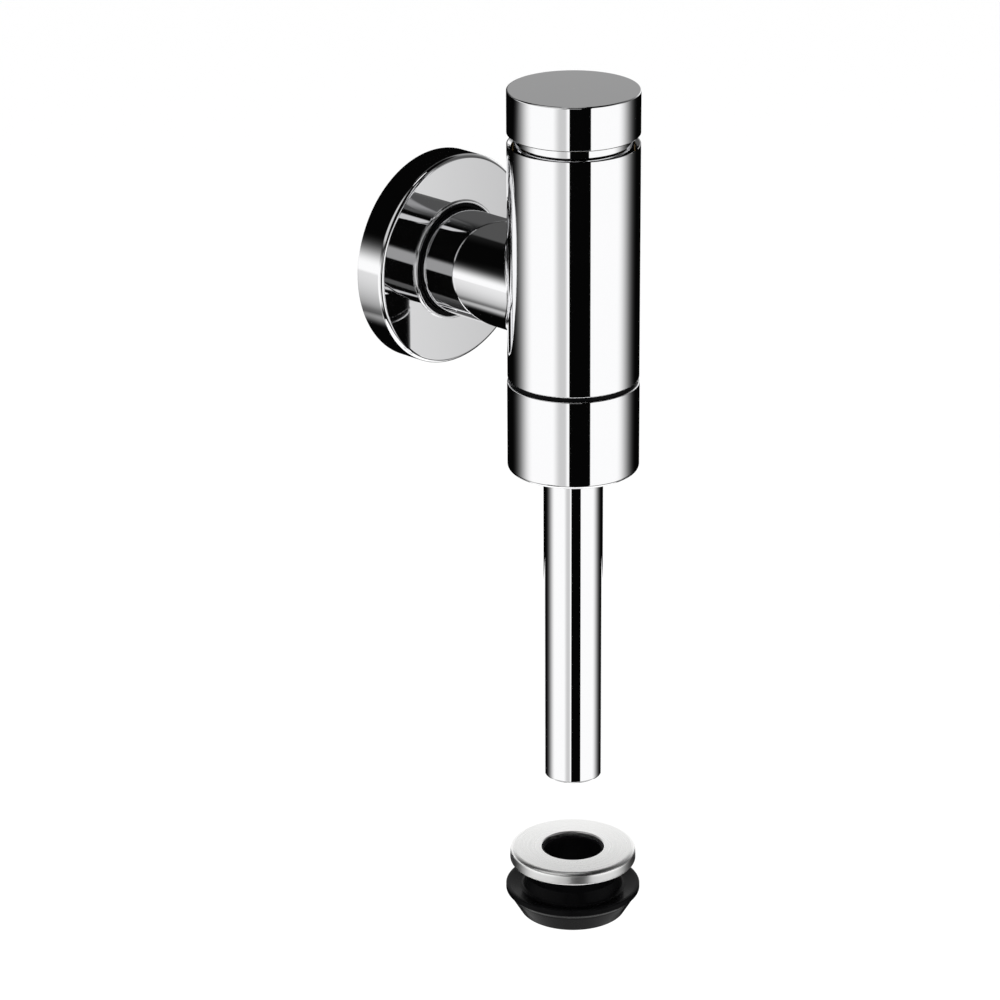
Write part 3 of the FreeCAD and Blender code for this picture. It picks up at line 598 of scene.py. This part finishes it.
node(world_tree, "ShaderNodeOutputWorld", Surface=sky.outputs["Background"])


def studio_card():
    """Tent cloth and black flags: glow with the shade in their points, clear where cover is 0."""
    made = bpy.data.materials.new("studio_card")
    made.use_nodes = True
    tree = made.node_tree
    tree.nodes.clear()
    shade = node(tree, "ShaderNodeAttribute", {"attribute_name": "shade"})
    glow = node(tree, "ShaderNodeEmission", Color=shade.outputs["Color"],
                Strength=CARD_STRENGTH)
    clear = node(tree, "ShaderNodeBsdfTransparent")
    mix = node(tree, "ShaderNodeMixShader", _0=shade.outputs["Alpha"], _1=clear.outputs["BSDF"],
               _2=glow.outputs["Emission"])
    node(tree, "ShaderNodeOutputMaterial", Surface=mix.outputs["Shader"])
    return made


CARD = studio_card()


def hung(name, points, greys, covers):
    """A studio card of a grid of points with sRGB greys 0 to 255, seen in reflections only."""
    mesh = grid_mesh(name, points, False, False)
    levels = greys / 255
    levels = np.where(levels <= 0.04045, levels / 12.92, ((levels + 0.055) / 1.055) ** 2.4)
    colours = np.stack([levels, levels, levels, covers], -1)
    layer = mesh.color_attributes.new("shade", "FLOAT_COLOR", "POINT")
    layer.data.foreach_set("color", colours.ravel())
    piece = placed(mesh, Matrix())
    piece.data.materials.append(CARD)
    piece.visible_camera = False
    piece.visible_diffuse = False
    piece.visible_shadow = False
    return piece


# Five tones of cloth, as sRGB greys 0 to 255.  The tent is a black surround with plain cards hung
# in front of it, later cards over earlier ones, each of one tone with hard or soft edges.  Angles
# are in degrees: azimuth 0 is towards the camera's side and 90 to its right.

BLACK, DIM, GREY, PALE, WHITE = 5.0, 80.0, 150.0, 200.0, 250.0
TENT_RADIUS = 1.0
CREST = -11
CARDS = [
    # tone, azimuths from and to, their softness, elevations from and to, their softness
    (WHITE, (-105, -8), (60, 1), (-41, CREST), (14, 2)),    # large sheet on the left
    (PALE, (-30, -13), (16, 6), (-41, CREST), (14, 2)),     # fold in that sheet
    (WHITE, (28, 108), (1, 60), (-41, CREST), (14, 2)),     # large sheet on the right
    (PALE, (-115, -78), (20, 20), (-52, -41), (8, 4)),      # foot of the left sheet
    (DIM, (21, 130), (2, 20), (-52, -41), (8, 4)),          # floor before the right sheet
    (WHITE, (-150, -20), (30, 12), (CREST, 7), (2, 24)),    # upper left sheet, fading upwards
    (DIM, (60, 130), (40, 40), (CREST, 50), (2, 20)),       # side wall on the right
    (WHITE, (29, 88), (1, 24), (CREST, 5), (2, 16)),        # upper right sheet
    (GREY, (-12, 12), (1, 2), (CREST, 9), (2, 8)),          # cloth round the camera
    (GREY, (120, 232), (50, 40), (14, 46), (6, 14)),        # back wall, high part
    (WHITE, (125, 235), (40, 40), (CREST, 15), (2, 8)),     # back wall, low part
    (PALE, (-82, -12), (15, 7), (17, 72), (12, 30)),        # high card on the left
]


def soft_step(value, edge, width):
    """t * t * (3 - 2 * t), with t from 0 to 1 over the width about the edge."""
    t = np.clip((value - edge) / width + 0.5, 0, 1)
    return t * t * (3 - 2 * t)


azimuths = np.arange(-180, 180.1, 0.5)[None, :]
elevations = np.arange(-80, 80.1, 2.0)[:, None]
tent_greys = np.full((elevations.size, azimuths.size), BLACK)
for tone, (start, end), (soft_start, soft_end), (foot, head), (soft_foot, soft_head) in CARDS:
    half = (end - start) / 2
    offset = (azimuths - start - half + 180) % 360 - 180
    cover = (soft_step(offset, -half, soft_start) * soft_step(-offset, -half, soft_end)
             * soft_step(elevations, foot, soft_foot) * soft_step(-elevations, -head, soft_head))
    tent_greys = tent_greys + (tone - tent_greys) * cover
flat_back = np.array([math.sin(CAMERA_AZIMUTH), -math.cos(CAMERA_AZIMUTH), 0])
flat_right = np.array([math.cos(CAMERA_AZIMUTH), math.sin(CAMERA_AZIMUTH), 0])
turn_by = np.radians(azimuths)[:, :, None]
rise_by = np.radians(elevations)[:, :, None]
level_ray = np.cos(turn_by) * flat_back + np.sin(turn_by) * flat_right
upward = np.array([0, 0, 1.0])
body_axis = np.array([0, AXIS_Y * MM, 0])
tent_points = TENT_RADIUS * (np.cos(rise_by) * level_ray + np.sin(rise_by) * upward) + body_axis
hung("tent", tent_points, tent_greys, np.ones_like(tent_greys))

# The flag hangs behind the wall plane: black where the rosette's rim mirrors it, dim above that
# where the arm does.

FLAG_BEHIND = 0.030
flag_radii = np.array([0.0001, 0.076, 0.077, 0.104, 0.112])[:, None]
flag_turns = np.radians(np.arange(-20, 156, 2.0))[None, :]
flag_points = np.stack(np.broadcast_arrays(flag_radii * np.cos(flag_turns), FLAG_BEHIND,
                                           flag_radii * np.sin(flag_turns)), -1)
flag_tones = np.array([BLACK, BLACK, DIM, DIM, DIM])[:, None]
flag_greys = np.broadcast_to(flag_tones, flag_points.shape[:2])
inner_cover = np.interp(np.degrees(flag_turns), [-20, -10, 126, 152], [0, 1, 1, 0])
outer_cover = np.interp(np.degrees(flag_turns), [28, 32, 96, 100], [0, 1, 1, 0])
flag_covers = np.concatenate([inner_cover, inner_cover, outer_cover, outer_cover, 0 * outer_cover])
hung("flag_behind", flag_points, flag_greys, flag_covers)

# A small white card behind the connector gives its satin plate something pale to blur.

CARD_AWAY = 0.085
card_across = np.linspace(-0.07, 0.07, 5)[None, :, None]
card_up = np.array([-0.225, -0.128])[:, None, None]
card_points = (body_axis - CARD_AWAY * flat_back + card_across * flat_right
               + card_up * upward)
hung("card_low", card_points, np.full(card_points.shape[:2], WHITE), np.ones(card_points.shape[:2]))

# The lamp only lights: the chrome mirrors the tent, and would show the lamp as hard streaks.

LAMP_SIDE = 0.4
LAMP_POWER = 5.0
LAMP_HEIGHT = 0.85
lamp_data = bpy.data.lights.new("soft_lamp", "AREA")
lamp_data.shape = "RECTANGLE"
lamp_data.size = LAMP_SIDE
lamp_data.size_y = LAMP_SIDE
lamp_data.energy = LAMP_POWER
lamp = bpy.data.objects.new("soft_lamp", lamp_data)
lamp.matrix_world = Matrix.Translation((0, AXIS_Y * MM, LAMP_HEIGHT))
lamp.visible_glossy = False
scene.collection.objects.link(lamp)

FLOOR_HEIGHT = -0.80
FLOOR_HALF = 6.0
floor_points = np.array([[[x, y, FLOOR_HEIGHT] for x in (-FLOOR_HALF, FLOOR_HALF)]
                         for y in (-FLOOR_HALF, FLOOR_HALF)])
floor = placed(grid_mesh("floor", floor_points, False, False), Matrix())
floor_material = material("pale_floor", Base_Color=linear("FAFAFA"), Roughness=0.8)[0]
floor.data.materials.append(floor_material)
